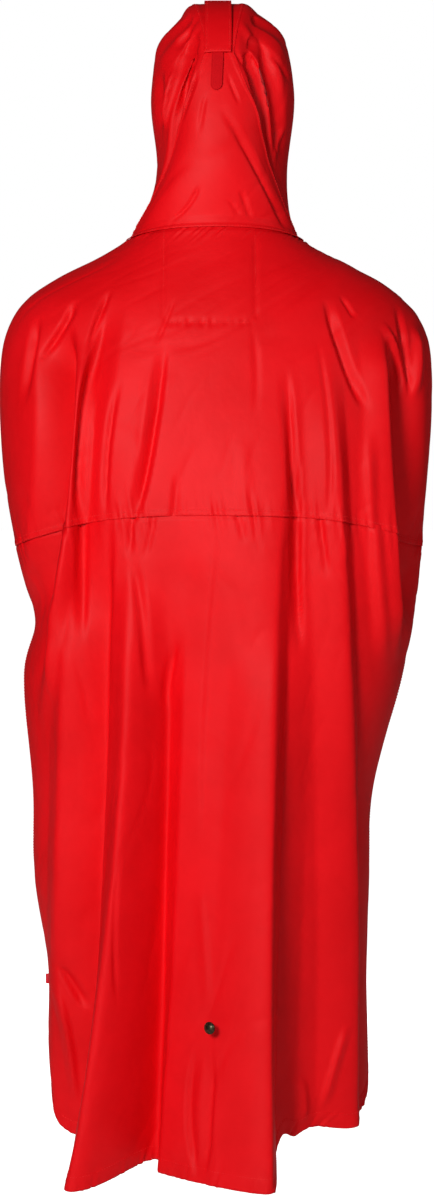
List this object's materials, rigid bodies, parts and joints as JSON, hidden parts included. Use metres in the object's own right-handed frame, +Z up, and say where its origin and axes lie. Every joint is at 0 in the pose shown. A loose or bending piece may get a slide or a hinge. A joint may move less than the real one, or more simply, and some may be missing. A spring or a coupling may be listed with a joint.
{
  "type": "hooded rain poncho",
  "caption": "Long pull-on rain poncho with a three-piece hood, a yoke seam, arm openings and side slits, hollow and in its worn shape.",
  "frame": {"origin": "middle of the neck, level with where the shoulders start, which is where the wearer carries the poncho", "axes": "+Z up through the hood, -Y the way the wearer faces, +X the wearer's left"},
  "size_m": [0.5598, 0.3851, 1.5101],
  "materials": {
    "cloth": "smooth, slightly shiny coated polyester with fine creases",
    "trim": "doubled coated polyester, stitched flat",
    "snap": "dark antique brass"
  },
  "bodies": {
    "root": {"back_yoke": "cloth", "front_yoke": "cloth", "back_panel": "cloth", "front_panel": "cloth", "hood_center": "cloth", "hood_left": "cloth", "hood_right": "cloth", "hood_strap": "trim", "hood_loop_strip": "trim", "side_tab": "trim", "snap_cap": "snap"}
  },
  "joints": []
}
